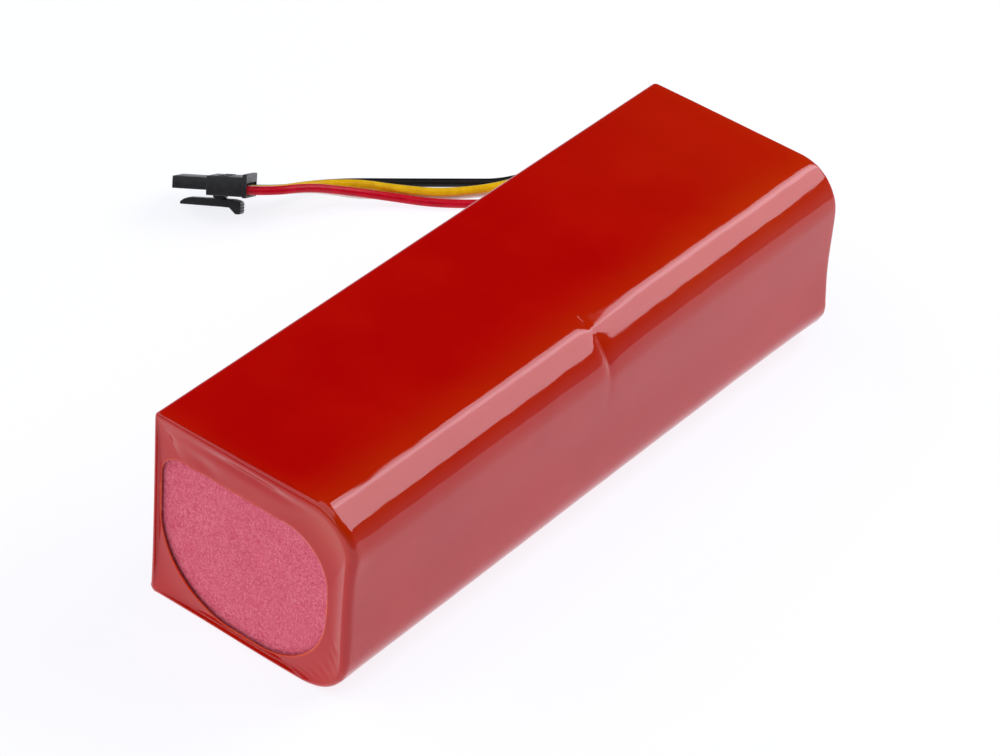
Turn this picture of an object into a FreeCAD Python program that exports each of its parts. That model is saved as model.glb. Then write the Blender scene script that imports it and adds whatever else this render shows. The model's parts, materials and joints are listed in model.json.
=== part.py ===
"""Eight-cell lithium-ion battery pack in a heat-shrink sleeve, with a four-way plug on its leads.

Millimetres. X is the pack's width, Y its length, Z is up. The origin is the middle of the sleeve's
underside. The cells lie along Y in two columns and two rows, two cells end to end. The board side
is at -X and the leads leave through the sleeve's opening at +Y.
"""
import FreeCAD, Part
import Sketcher
import math
import os
import re

Vector = FreeCAD.Vector
doc = FreeCAD.newDocument("battery_pack")
sheet = doc.addObject("Spreadsheet::Sheet", "dims")
subparts = []

SIZES = [
    # the sleeve
    ("pack_length", 135.0), ("pack_width", 42.4), ("pack_height", 38.4),
    ("sleeve_wall", 0.3), ("round_side_radius", 8.9), ("board_side_radius", 1.2),
    # the two mouths: lip widths, then corner radii
    ("lip_left", 1.3), ("lip_right", 5.1), ("lip_top", 6.1), ("lip_bottom", 1.3),
    ("mouth_low_left", 17.0), ("mouth_low_right", 14.5), ("mouth_high_right", 11.0),
    ("mouth_high_left", 7.5),
    ("rear_lip_left", 1.0), ("rear_lip_top", 4.0), ("rear_lip_bottom", 2.6),
    ("rear_low_left", 5.0), ("rear_low_right", 12.0), ("rear_high_right", 12.0),
    ("rear_high_left", 8.0),
    # one cell
    ("cell_length", 65.0), ("cell_radius", 9.1), ("cell_pitch", 18.3), ("cell_gap", 0.3),
    ("wrap_thickness", 0.1), ("can_wall", 0.25), ("crimp_radius", 7.6), ("crimp_height", 64.4),
    ("bead_low", 60.0), ("bead_high", 61.6), ("bead_depth", 0.7), ("roll_radius", 8.5),
    ("roll_length", 58.5), ("cap_radius", 8.4), ("button_radius", 4.2), ("cap_thickness", 0.5),
    ("side_clearance", 0.05), ("roll_clearance", 0.2), ("ring_inset", 0.6), ("ring_thickness", 0.2),
    # nickel strips and paper
    ("strip_thickness", 0.15), ("strip_height", 8.0), ("strip_reach", 5.0), ("strip_corner", 1.0),
    ("tab_height", 3.0), ("tab_overlap", 4.0), ("slit_width", 2.0), ("slit_reach", 2.0),
    ("ribbon_overlap", 4.0), ("sense_overlap", 6.0),
    ("paper_thickness", 0.6), ("end_pad_thickness", 0.9), ("insulator_thickness", 0.4),
    ("pad_round_inset", 0.4), ("pad_board_corner", 0.8), ("insulator_gap", 0.15),
    # the boards
    ("board_thickness", 1.2), ("board_low", 4.6), ("board_high", 33.8), ("board_front", -48.0),
    ("board_rear", 63.5), ("cover_thickness", 1.0), ("cover_front_gap", 0.2), ("slot_size", 4.0),
    ("board_gap", 0.2), ("terminal_height", 1.9), ("terminal_length", 2.0), ("terminal_width", 1.6),
    ("thermistor_radius", 1.2), ("thermistor_leg", 0.5), ("thermistor_hole", 0.8),
    ("thermistor_place", -20.0), ("thermistor_depth", 7.6), ("thermistor_solder", 0.4),
    # leads and plug
    ("lead_diameter", 1.7), ("lead_start", 62.5), ("lead_lowest", 8.4), ("lead_pitch", 2.1),
    ("lead_offset", 1.1), ("lead_straight", 10.5), ("lead_plug_run", 3.8),
    ("plug_x", -90.25), ("plug_y", 12.3), ("plug_z", 6.55),
    ("plug_yaw", 31.7), ("plug_tilt", -4.8), ("plug_roll", -32.2),
    ("way_pitch", 2.5), ("way_first", 1.75), ("way_height", 1.2), ("way_size", 2.1),
    ("plug_length", 14.3), ("plug_width", 11.0), ("plug_height", 3.7), ("nose_length", 6.6),
    ("nose_low", 0.95), ("nose_high", 3.3), ("collar_length", 0.8), ("crimp_end", 10.5),
    ("nose_inset", 0.3), ("collar_side", 0.15), ("collar_drop", 0.2), ("collar_rise", 0.6),
    ("web_length", 1.7), ("web_drop", 0.55), ("blade_way_width", 1.0), ("blade_way_low", 0.3),
    ("blade_way_high", 0.5), ("barrel_size", 1.6), ("blade_width", 0.8), ("blade_low", 0.2),
    ("blade_high", 0.4), ("blade_tip", 1.0),
    ("hinge_along", 8.45), ("hinge_drop", 0.9), ("boss_radius", 0.75), ("hinge_clearance", 0.05),
    ("lever_width", 4.2), ("lever_tip", 1.05), ("lever_end", 12.7), ("lever_top", -0.75),
    ("lever_bottom", -2.25), ("thumb_bottom", -3.5),
    ("tip_chamfer_length", 1.5), ("tip_chamfer_height", 0.8), ("heel_chamfer_length", 1.3),
    ("heel_chamfer_height", 0.6), ("thumb_length", 1.0), ("thumb_slope", 2.2),
    # how far a cutting tool stands beyond the solid that it cuts
    ("over_cut", 1.0),
]

for row, (alias, value) in enumerate(SIZES, start=1):
    sheet.set("A%d" % row, alias.replace("_", " "))
    sheet.set("B%d" % row, str(value))
    sheet.setAlias("B%d" % row, alias)
doc.recompute()


def size(expression):
    """The present value of an expression in the sheet's names."""
    value = sheet.evalExpression(expression)
    return float(getattr(value, "Value", value))


def bind(thing, prop, expression):
    """Tie one property to an expression in the sheet's names."""
    thing.setExpression(prop, qualified(expression))


def qualified(expression):
    """The expression with the sheet's name put before each of its own names."""
    return re.sub(r"[a-z]+(?:_[a-z]+)+", r"dims.\g<0>", expression)


def keep(thing, label, placement=None):
    """Name an object as one of the finished sub-parts."""
    thing.Label = label
    if placement is not None:
        thing.Placement = placement
    subparts.append(thing)
    return thing


# ---------------------------------------------------------------- solids bound to the sheet

def outline(body, name, plane_role, points):
    """A closed sketch of straight lines; each corner's two distances follow the sheet."""
    sketch = body.newObject("Sketcher::SketchObject", name)
    plane = [p for p in body.Origin.OriginFeatures if p.Role == plane_role][0]
    sketch.AttachmentSupport = [(plane, "")]
    sketch.MapMode = "FlatFace"
    corners = [Vector(size(across), size(up), 0) for across, up in points]
    for i, corner in enumerate(corners):
        sketch.addGeometry(Part.LineSegment(corner, corners[(i + 1) % len(corners)]))
    for i, (across, up) in enumerate(points):
        sketch.addConstraint(Sketcher.Constraint("Coincident", i - 1 if i else len(points) - 1, 2, i, 1))
        for kind, text, value in (("DistanceX", across, corners[i].x), ("DistanceY", up, corners[i].y)):
            index = sketch.addConstraint(Sketcher.Constraint(kind, -1, 1, i, 1, value))
            bind(sketch, "Constraints[%d]" % index, text)
    return sketch


def box(name, low, high):
    """A plain block between two corners given as expressions."""
    block = doc.addObject("Part::Box", name)
    for prop, start, end in zip(("Length", "Width", "Height"), low, high):
        bind(block, prop, "(%s) - (%s)" % (end, start))
    for axis, start in zip("xyz", low):
        bind(block, "Placement.Base." + axis, start)
    return block


def rounded_block(name, x_range, y_range, z_range, radii):
    """A body along Y whose four long edges are rounded.

    radii go bottom left, bottom right, top right, top left; None leaves an edge sharp.
    """
    body = doc.addObject("PartDesign::Body", name)
    corners = [(x_range[0], z_range[0]), (x_range[1], z_range[0]),
               (x_range[1], z_range[1]), (x_range[0], z_range[1])]
    pad = body.newObject("PartDesign::Pad", name + "_pad")
    pad.Profile = outline(body, name + "_section", "XZ_Plane", corners)
    bind(pad, "Length", "(%s) - (%s)" % (y_range[1], y_range[0]))
    doc.recompute()
    last = pad
    for (x, z), radius in zip(corners, radii):
        if radius is None:
            continue
        fillet = body.newObject("PartDesign::Fillet", name + "_round")
        fillet.Base = (last, [long_edge(last.Shape, size(x), size(z))])
        bind(fillet, "Radius", radius)
        doc.recompute()
        last = fillet
    bind(body, "Placement.Base.y", y_range[1])
    return body


def long_edge(shape, x, z):
    """The name of the edge along Y that passes through (x, z)."""
    for number, edge in enumerate(shape.Edges, start=1):
        first, last = edge.Vertexes[0].Point, edge.Vertexes[-1].Point
        if max(abs(p[k] - at) for p in (first, last) for k, at in ((0, x), (2, z))) < 1e-6:
            return "Edge%d" % number
    raise ValueError("no long edge at %.2f, %.2f" % (x, z))


def turned(name, profile):
    """A body of revolution about Z; the profile is (radius, height) pairs."""
    body = doc.addObject("PartDesign::Body", name)
    sketch = outline(body, name + "_profile", "XZ_Plane", profile)
    revolution = body.newObject("PartDesign::Revolution", name + "_turn")
    revolution.Profile = sketch
    revolution.ReferenceAxis = (sketch, ["V_Axis"])
    revolution.Angle = 360.0
    return body


def cut(name, base, tools):
    """The base with the tools taken away."""
    result = doc.addObject("Part::Cut", name)
    result.Base = base
    result.Tool = tools[0] if len(tools) == 1 else fused(name + "_tools", tools)
    return result


def fused(name, shapes):
    """Several overlapping or touching objects as one solid."""
    result = doc.addObject("Part::MultiFuse", name)
    result.Shapes = shapes
    return result


def group(name, shapes):
    """Several separate solids in one node."""
    result = doc.addObject("Part::Compound", name)
    result.Links = shapes
    return result


# ---------------------------------------------------------------- places shared by the pieces

HALF_WIDTH = "pack_width/2"
INNER_X = "(pack_width/2 - sleeve_wall)"
INNER_TOP = "(pack_height - sleeve_wall)"
RIGHT_COLUMN = "(pack_width/2 - sleeve_wall - side_clearance - cell_radius)"
LEFT_COLUMN = "(pack_width/2 - sleeve_wall - side_clearance - cell_radius - cell_pitch)"
LOW_ROW = "(pack_height/2 - cell_pitch/2)"
HIGH_ROW = "(pack_height/2 + cell_pitch/2)"
CELL_END = "(cell_gap/2 + cell_length)"
STRIP_END = "(cell_gap/2 + cell_length + strip_thickness)"
INSULATOR_X = "(pack_width/2 - sleeve_wall - side_clearance - 2*cell_radius - cell_pitch - insulator_gap)"
BOARD_INNER_X = "(%s - insulator_thickness - board_gap)" % INSULATOR_X
BOARD_OUTER_X = "(%s - board_thickness)" % BOARD_INNER_X
COVER_X = "(side_clearance + sleeve_wall - pack_width/2)"


# ---------------------------------------------------------------- cells

def cell_parts(number, column, end, row):
    """One cell: steel can, wound roll, shrunk film wrap and top cap, standing on its flat end.

    Cells of the lower row point their button to +Y, those of the upper row to -Y.
    """
    prefix = "cell_%d_" % number
    forward = row == LOW_ROW
    flat_end = {("front", True): "-" + CELL_END, ("rear", True): "cell_gap/2",
                ("front", False): "-cell_gap/2", ("rear", False): CELL_END}[(end, forward)]
    turn = FreeCAD.Rotation(Vector(1, 0, 0), -90 if forward else 90)
    place = FreeCAD.Placement(Vector(size(column), size(flat_end), size(row)), turn)
    outer = "cell_radius - wrap_thickness"
    inner = "cell_radius - wrap_thickness - can_wall"
    bead = "cell_radius - wrap_thickness - bead_depth"
    floor = "wrap_thickness"
    bead_middle = "(bead_low + bead_high)/2"
    keep(turned(prefix + "can", [
        ("0", floor), (outer, floor), (outer, "bead_low"), (bead, bead_middle), (outer, "bead_high"),
        (outer, "crimp_height"), ("crimp_radius", "crimp_height"),
        ("crimp_radius", "crimp_height - can_wall"), (inner, "crimp_height - can_wall"),
        (inner, "bead_high"), (bead + " - can_wall", bead_middle), (inner, "bead_low"),
        (inner, floor + " + can_wall"), ("0", floor + " + can_wall")]), prefix + "can", place)
    roll = doc.addObject("Part::Cylinder", prefix + "roll")
    bind(roll, "Radius", "roll_radius")
    bind(roll, "Height", "roll_length")
    roll_lift = Vector(0, 0, size("wrap_thickness + can_wall + roll_clearance"))
    lifted = FreeCAD.Placement(roll_lift, FreeCAD.Rotation())
    keep(roll, prefix + "roll", place.multiply(lifted))
    wrap_top = "crimp_height + wrap_thickness"
    keep(turned(prefix + "wrap", [
        ("crimp_radius", "0"), ("cell_radius", "0"), ("cell_radius", wrap_top),
        ("crimp_radius", wrap_top), ("crimp_radius", "crimp_height"), (outer, "crimp_height"),
        (outer, floor), ("crimp_radius", floor)]), prefix + "wrap", place)
    under_crimp = "crimp_height - can_wall"
    keep(turned(prefix + "cap", [
        ("0", under_crimp + " - cap_thickness"), ("cap_radius", under_crimp + " - cap_thickness"),
        ("cap_radius", under_crimp), ("button_radius", under_crimp), ("button_radius", "cell_length"),
        ("0", "cell_length")]), prefix + "cap", place)
    ring = turned("cell_ring_%d" % number, [
        ("button_radius + ring_inset", wrap_top), ("cell_radius - ring_inset", wrap_top),
        ("cell_radius - ring_inset", wrap_top + " + ring_thickness"),
        ("button_radius + ring_inset", wrap_top + " + ring_thickness")])
    ring.Placement = place
    return ring


rings = []
for number, (end, column, row) in enumerate(
        ((e, c, r) for e in ("front", "rear") for c in (LEFT_COLUMN, RIGHT_COLUMN)
         for r in (LOW_ROW, HIGH_ROW)), start=1):
    rings.append(cell_parts(number, column, end, row))
keep(group("cell_rings", rings), "cell_rings")


# ---------------------------------------------------------------- nickel strips

STRIP_X = (LEFT_COLUMN + " - strip_reach", RIGHT_COLUMN + " + strip_reach")
TAB_X = LEFT_COLUMN + " - tab_overlap"


def strip(name, y_range, row, tab_to):
    """A flat strip across the two cells of one row, with a tab towards the board."""
    half = "strip_height/2"
    plate = rounded_block(name + "_plate", STRIP_X, y_range,
                          (row + " - " + half, row + " + " + half), ["strip_corner"] * 4)
    tab = box(name + "_tab", (tab_to, y_range[0], row + " - tab_height/2"),
              (TAB_X, y_range[1], row + " + tab_height/2"))
    return keep(fused(name, [plate, tab]), name)


FRONT = ("-" + STRIP_END, "-" + CELL_END)
REAR = (CELL_END, STRIP_END)
MIDDLE = ("-cell_gap/2", "cell_gap/2")
RIBBON_X = "(%s - strip_thickness)" % BOARD_OUTER_X
strip("front_negative_strip", FRONT, LOW_ROW, BOARD_OUTER_X)
strip("front_positive_strip", FRONT, HIGH_ROW, BOARD_OUTER_X)
strip("middle_lower_strip", MIDDLE, LOW_ROW, RIBBON_X)
strip("middle_upper_strip", MIDDLE, HIGH_ROW, RIBBON_X)
bridge_plate = rounded_block(
    "bridge_plate", STRIP_X, REAR,
    (LOW_ROW + " - strip_height/2", HIGH_ROW + " + strip_height/2"), ["strip_corner"] * 4)
bridge_tab = box("bridge_tab", (BOARD_OUTER_X, CELL_END, HIGH_ROW + " - tab_height/2"),
                 (TAB_X, STRIP_END, HIGH_ROW + " + tab_height/2"))
BETWEEN = "(%s + %s)/2" % (LEFT_COLUMN, RIGHT_COLUMN)
bridge_slit = box("bridge_slit",
                  (BETWEEN + " - slit_width/2", CELL_END + " - over_cut", LOW_ROW + " - slit_reach"),
                  (BETWEEN + " + slit_width/2", STRIP_END + " + over_cut", HIGH_ROW + " + slit_reach"))
keep(cut("rear_bridge_strip", fused("bridge_blank", [bridge_plate, bridge_tab]), [bridge_slit]),
     "rear_bridge_strip")


def ribbon(name, y_range, row):
    """A nickel ribbon along the board's outer face, from a strip's tab to its solder pad."""
    keep(box(name, (RIBBON_X, y_range[0], row + " - tab_height/2"),
             (BOARD_OUTER_X, y_range[1], row + " + tab_height/2")), name)


ribbon("negative_lead", ("-" + STRIP_END, "board_front + ribbon_overlap"), LOW_ROW)
ribbon("positive_lead", ("-" + STRIP_END, "board_front + ribbon_overlap"), HIGH_ROW)
ribbon("sense_lead", ("board_rear - sense_overlap", STRIP_END), HIGH_ROW)


# ---------------------------------------------------------------- boards and papers

def slotted_board(name, x_range, y_range, z_range):
    """An upright board with a slot for each middle strip's tab and a hole for the thermistor."""
    slots = [box(name + "_slot", (x_range[0] + " - over_cut", "-slot_size/2", row + " - slot_size/2"),
                 (x_range[1] + " + over_cut", "slot_size/2", row + " + slot_size/2"))
             for row in (LOW_ROW, HIGH_ROW)]
    hole = doc.addObject("Part::Cylinder", name + "_hole")
    bind(hole, "Radius", "thermistor_hole")
    bind(hole, "Height", "(%s) - (%s) + 2*over_cut" % (x_range[1], x_range[0]))
    hole_start = Vector(size(x_range[0] + " - over_cut"), size("thermistor_place"), size("pack_height/2"))
    hole.Placement = FreeCAD.Placement(hole_start, FreeCAD.Rotation(Vector(0, 1, 0), 90))
    blank = box(name + "_blank", (x_range[0], y_range[0], z_range[0]), (x_range[1], y_range[1], z_range[1]))
    return cut(name, blank, slots + [hole])


INSIDE_Z = ("sleeve_wall + paper_thickness + side_clearance",
            INNER_TOP + " - paper_thickness - side_clearance")
BOARD_MARGIN = "1"
keep(slotted_board("board_insulator", (INSULATOR_X + " - insulator_thickness", INSULATOR_X),
                   ("%s - %s" % (BOARD_MARGIN, CELL_END), "%s - %s" % (CELL_END, BOARD_MARGIN)),
                   INSIDE_Z), "board_insulator")

board = slotted_board("bare_board", (BOARD_OUTER_X, BOARD_INNER_X), ("board_front", "board_rear"),
                      ("board_low", "board_high"))
terminals = []
for way in range(4):
    height = "lead_lowest + %d*lead_pitch" % way
    terminals.append(box("terminal_%d" % way,
                         (BOARD_OUTER_X + " - terminal_height", "lead_start - terminal_length",
                          height + " - terminal_width/2"),
                         (BOARD_OUTER_X, "lead_start", height + " + terminal_width/2")))
keep(fused("protection_board", [board] + terminals), "protection_board")


def chip(name, y, z, length, height, thickness):
    """A moulded package on the board's outer face, from its low corner."""
    return box(name, ("%s - %g" % (BOARD_OUTER_X, thickness), "%g" % y, "%g" % z),
               (BOARD_OUTER_X, "%g" % (y + length), "%g" % (z + height)))


# for each kind of package: first y, z, spacing along y, how many, then length, height and thickness
TRANSISTORS = (10, 12, 8, 4, 6.2, 5.0, 1.6)
PASSIVES = (8, 31, 3.5, 12, 1.6, 0.9, 0.6)
CONTROL_CHIP = (20, 22, 6.5, 6.4, 1.5)


def chips(name, first, z, spacing, count, *package):
    """A row of equal packages along the board."""
    return group(name + "_row", [chip(name, first + spacing * i, z, *package) for i in range(count)])


keep(chips("transistor", *TRANSISTORS), "board_transistors")
keep(chip("control_chip", *CONTROL_CHIP), "control_chip")
keep(chips("passive", *PASSIVES), "board_passives")
COVER_START = "cover_front_gap - " + STRIP_END

keep(box("side_cover_board", (COVER_X, COVER_START, INSIDE_Z[0]),
         (COVER_X + " + cover_thickness", CELL_END, INSIDE_Z[1])), "side_cover_board")
PAPER_X = (COVER_X + " + board_side_radius", INNER_X + " - round_side_radius")
PAPER_Y = ("-" + CELL_END, CELL_END)
keep(box("bottom_paper", (PAPER_X[0], PAPER_Y[0], "sleeve_wall"),
         (PAPER_X[1], PAPER_Y[1], "sleeve_wall + paper_thickness")), "bottom_paper")
keep(box("top_paper", (PAPER_X[0], PAPER_Y[0], INNER_TOP + " - paper_thickness"),
         (PAPER_X[1], PAPER_Y[1], INNER_TOP)), "top_paper")

BEAD_X = "(%s - thermistor_depth)" % LEFT_COLUMN
bead = doc.addObject("Part::Sphere", "thermistor_bead")
bind(bead, "Radius", "thermistor_radius")
bead.Placement.Base = Vector(size(BEAD_X), size("thermistor_place"), size("pack_height/2"))
bead_legs = doc.addObject("Part::Cylinder", "thermistor_legs")
bind(bead_legs, "Radius", "thermistor_leg")
bind(bead_legs, "Height", "%s - %s + thermistor_solder" % (BEAD_X, BOARD_OUTER_X))
bead_legs.Placement = FreeCAD.Placement(bead.Placement.Base, FreeCAD.Rotation(Vector(0, 1, 0), -90))
keep(fused("thermistor", [bead, bead_legs]), "thermistor")


# ---------------------------------------------------------------- end pads and sleeve

PAD_NEAR = STRIP_END + " + side_clearance"
PAD_FAR = PAD_NEAR + " + end_pad_thickness"
PAD_ROUND = "round_side_radius - pad_round_inset"
PAD_RADII = ["pad_board_corner", PAD_ROUND, PAD_ROUND, "pad_board_corner"]
PAD_Z = ("sleeve_wall + side_clearance", INNER_TOP + " - side_clearance")
PAD_RIGHT = INNER_X + " - side_clearance"
REAR_PAD_LEFT = INSULATOR_X + " - 2*insulator_gap"
keep(rounded_block("front_end_pad", (COVER_X, PAD_RIGHT), ("-(%s)" % PAD_FAR, "-(%s)" % PAD_NEAR),
                   PAD_Z, PAD_RADII), "front_end_pad")
keep(rounded_block("rear_end_pad", (REAR_PAD_LEFT, PAD_RIGHT), (PAD_NEAR, PAD_FAR),
                   PAD_Z, PAD_RADII), "rear_end_pad")

sleeve_outside = rounded_block(
    "sleeve_outside", ("-" + HALF_WIDTH, HALF_WIDTH), ("-pack_length/2", "pack_length/2"),
    ("0", "pack_height"),
    ["board_side_radius", "round_side_radius", "round_side_radius", "board_side_radius"])
INNER_ROUND = "round_side_radius - sleeve_wall"
INNER_CORNER = "board_side_radius - sleeve_wall"
sleeve_hollow = rounded_block(
    "sleeve_hollow", ("-" + INNER_X, INNER_X),
    ("sleeve_wall - pack_length/2", "pack_length/2 - sleeve_wall"), ("sleeve_wall", INNER_TOP),
    [INNER_CORNER, INNER_ROUND, INNER_ROUND, INNER_CORNER])
OPENING_X = ("lip_left - pack_width/2", "pack_width/2 - lip_right")
OPENING_Z = ("lip_bottom", "pack_height - lip_top")
front_mouth = rounded_block(
    "front_mouth", OPENING_X, ("-pack_length/2 - over_cut", "over_cut - pack_length/2"), OPENING_Z,
    ["mouth_low_left", "mouth_low_right", "mouth_high_right", "mouth_high_left"])
rear_mouth = rounded_block(
    "rear_mouth", ("rear_lip_left - pack_width/2", "pack_width/2 - lip_right"),
    ("pack_length/2 - over_cut", "pack_length/2 + over_cut"),
    ("rear_lip_bottom", "pack_height - rear_lip_top"),
    ["rear_low_left", "rear_low_right", "rear_high_right", "rear_high_left"])
keep(cut("shrink_sleeve", sleeve_outside, [sleeve_hollow, front_mouth, rear_mouth]), "shrink_sleeve")


# ---------------------------------------------------------------- plug: U along, V across the ways, W up

PLUG = FreeCAD.Placement(
    Vector(size("plug_x"), size("plug_y"), size("plug_z")),
    FreeCAD.Rotation(size("plug_yaw"), size("plug_tilt"), size("plug_roll")))

COLLAR_START = "plug_length - collar_length"
shell = box("plug_shell", ("nose_length", "0", "0"), (COLLAR_START, "plug_width", "plug_height"))
nose = box("plug_nose", ("0", "nose_inset", "nose_low"),
           ("nose_length", "plug_width - nose_inset", "nose_high"))
collar = box("plug_collar", (COLLAR_START, "-collar_side", "-collar_drop"),
             ("plug_length", "plug_width + collar_side", "plug_height + collar_rise"))
LEVER_NEAR = "(plug_width/2 - lever_width/2)"
LEVER_FAR = "(plug_width/2 + lever_width/2)"
web = box("hinge_web", ("hinge_along - web_length/2", LEVER_NEAR, "-web_drop"),
          ("hinge_along + web_length/2", LEVER_FAR, "0"))
socket = doc.addObject("Part::Cylinder", "hinge_socket")
bind(socket, "Radius", "boss_radius + hinge_clearance")
bind(socket, "Height", "plug_width")
across = FreeCAD.Rotation(Vector(1, 0, 0), -90)
socket.Placement = FreeCAD.Placement(Vector(size("hinge_along"), 0, -size("hinge_drop")), across)
ways = []
for way in range(4):
    centre = "way_first + %d*way_pitch" % way
    ways.append(box("way_%d" % way,
                    ("nose_length - over_cut", centre + " - way_size/2", "way_height - way_size/2"),
                    ("plug_length + over_cut", centre + " + way_size/2", "way_height + way_size/2")))
    ways.append(box("blade_way_%d" % way,
                    ("-over_cut", centre + " - blade_way_width/2", "way_height - blade_way_low"),
                    ("nose_length", centre + " + blade_way_width/2", "way_height + blade_way_high")))
housing = cut("plug_housing", fused("plug_blank", [shell, nose, collar, web]), [socket] + ways)
keep(housing, "plug_housing", PLUG)

contacts = []
for way in range(4):
    centre = "way_first + %d*way_pitch" % way
    barrel = box("barrel", ("nose_length", centre + " - barrel_size/2", "way_height - barrel_size/2"),
                 ("crimp_end", centre + " + barrel_size/2", "way_height + barrel_size/2"))
    blade = box("blade", ("blade_tip", centre + " - blade_width/2", "way_height - blade_low"),
                ("nose_length", centre + " + blade_width/2", "way_height + blade_high"))
    contacts.append(fused("contact_%d" % way, [barrel, blade]))
keep(group("plug_contacts", contacts), "plug_contacts", PLUG)

lever_body = doc.addObject("PartDesign::Body", "lever_bar")
lever_pad = lever_body.newObject("PartDesign::Pad", "lever_pad")
lever_pad.Profile = outline(lever_body, "lever_side", "XZ_Plane", [
    ("lever_tip", "lever_bottom"), ("lever_tip", "lever_top - tip_chamfer_height"),
    ("lever_tip + tip_chamfer_length", "lever_top"), ("lever_end - heel_chamfer_length", "lever_top"),
    ("lever_end", "lever_top - heel_chamfer_height"), ("lever_end", "thumb_bottom"),
    ("lever_end - thumb_length", "thumb_bottom"), ("lever_end - thumb_slope", "lever_bottom")])
bind(lever_pad, "Length", "lever_width")
bind(lever_body, "Placement.Base.y", LEVER_FAR)
boss = doc.addObject("Part::Cylinder", "lever_boss")
bind(boss, "Radius", "boss_radius")
bind(boss, "Height", "lever_width")
boss_start = Vector(size("hinge_along"), size(LEVER_NEAR), -size("hinge_drop"))
boss.Placement = FreeCAD.Placement(boss_start, across)
keep(fused("latch_lever", [lever_body, boss]), "latch_lever", PLUG)


# ---------------------------------------------------------------- the four leads

def plug_point(way, along):
    """A point on the axis of one way of the plug."""
    local = Vector(along, size("way_first + %d*way_pitch" % way), size("way_height"))
    return PLUG.multVec(local)


# Between the board and the plug: out of the sleeve, round to the left, down to the surface and up.
ROUTES = {
    "red_wire": [(-22.4, 82.8, 8.0), (-30.8, 84.0, 6.3), (-38.8, 75.5, 3.4), (-46.5, 61.2, 1.0),
                 (-56.3, 51.3, 1.0), (-64.0, 45.6, 1.8), (-69.9, 38.5, 4.0), (-72.9, 31.3, 6.9)],
    "white_wire": [(-22.7, 83.9, 10.0), (-31.5, 86.2, 7.5), (-40.3, 78.0, 4.3), (-48.3, 63.2, 0.95),
                   (-57.6, 52.75, 0.95), (-65.3, 47.2, 1.3), (-71.4, 40.3, 2.8), (-74.6, 33.4, 5.2)],
    "yellow_wire": [(-22.9, 84.9, 11.8), (-32.0, 88.5, 8.8), (-42.0, 81.0, 5.2), (-49.2, 66.5, 1.2),
                    (-58.8, 54.2, 0.95), (-66.7, 48.7, 0.97), (-73.0, 42.3, 1.5), (-76.3, 35.5, 3.5)],
    "black_wire": [(-23.1, 85.8, 13.8), (-32.7, 90.8, 10.5), (-43.5, 86.0, 6.0), (-50.8, 74.5, 2.0),
                   (-53.9, 63.4, 0.95), (-60.2, 56.0, 0.95), (-68.1, 50.5, 0.95), (-74.7, 44.3, 0.96),
                   (-78.0, 37.5, 1.8)],
}
LEAD_X = "(%s - lead_offset)" % BOARD_OUTER_X
RUN_SHARE = 0.45


def route(way, middle):
    """All the points of one lead, from its terminal to its crimp."""
    start = Vector(size(LEAD_X), size("lead_start"), size("lead_lowest + %d*lead_pitch" % way))
    points = [start, start + Vector(0, size("lead_straight"), 0)] + [Vector(*p) for p in middle]
    return points + [plug_point(way, size("plug_length + lead_plug_run")),
                     plug_point(way, size("crimp_end"))]


def bent_path(points):
    """Straight runs joined by tangent arcs: the wire of edges and the arcs' radii.

    Each arc starts RUN_SHARE of its shorter run before its corner.
    """
    edges, radii = [], []
    run_start = points[0]
    for before, corner, after in zip(points, points[1:], points[2:]):
        arriving = (corner - before).normalize()
        leaving = (after - corner).normalize()
        turn = arriving.getAngle(leaving)
        trim = RUN_SHARE * min(corner.distanceToPoint(before), corner.distanceToPoint(after))
        radius = trim / math.tan(turn / 2)
        arc_start = corner - arriving * trim
        arc_end = corner + leaving * trim
        inwards = (leaving - arriving).normalize()
        arc_middle = corner + inwards * (radius / math.cos(turn / 2) - radius)
        edges.append(Part.LineSegment(run_start, arc_start).toShape())
        edges.append(Part.Arc(arc_start, arc_middle, arc_end).toShape())
        radii.append(radius)
        run_start = arc_end
    edges.append(Part.LineSegment(run_start, points[-1]).toShape())
    return Part.Wire(edges), radii


for way, (name, middle) in enumerate(ROUTES.items()):
    points = route(way, middle)
    path, radii = bent_path(points)
    lead_radius = size("lead_diameter") / 2
    section = Part.Wire([Part.makeCircle(lead_radius, points[0], points[1] - points[0])])
    tube = doc.addObject("Part::Feature", name)
    tube.Shape = path.makePipeShell([section], True, True)
    keep(tube, name)
    expected = math.pi * lead_radius ** 2 * path.Length
    print("%s: length %.1f, volume %.1f of %.1f, radii %s" % (
        name, path.Length, tube.Shape.Volume, expected, ", ".join("%.1f" % r for r in radii)))


# ---------------------------------------------------------------- checks and files

doc.recompute()
failed = [thing.Name for thing in doc.Objects if {"Invalid", "Error"} & set(thing.State)]
if failed:
    raise RuntimeError("failed objects: " + ", ".join(failed))
for part in subparts:
    if part.Shape.isNull() or not part.Shape.isValid() or part.Shape.Volume <= 0:
        raise RuntimeError("bad shape: " + part.Label)

os.makedirs("parts", exist_ok=True)
for part in subparts:
    part.Shape.exportStep("parts/%s.step" % part.Label)
print("%d sub-parts" % len(subparts))
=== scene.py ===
"""Battery pack in red heat-shrink film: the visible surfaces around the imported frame. Metres, +Z up.

X is the pack's width, Y its length. Sizes come from the frame's boxes and from the millimetre values
below. Each new piece is a surface worked out as whole arrays; its function says the formula in words.
"""
import json
import math

import bmesh
import bpy
import numpy as np
from mathutils import Matrix, Vector


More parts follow.
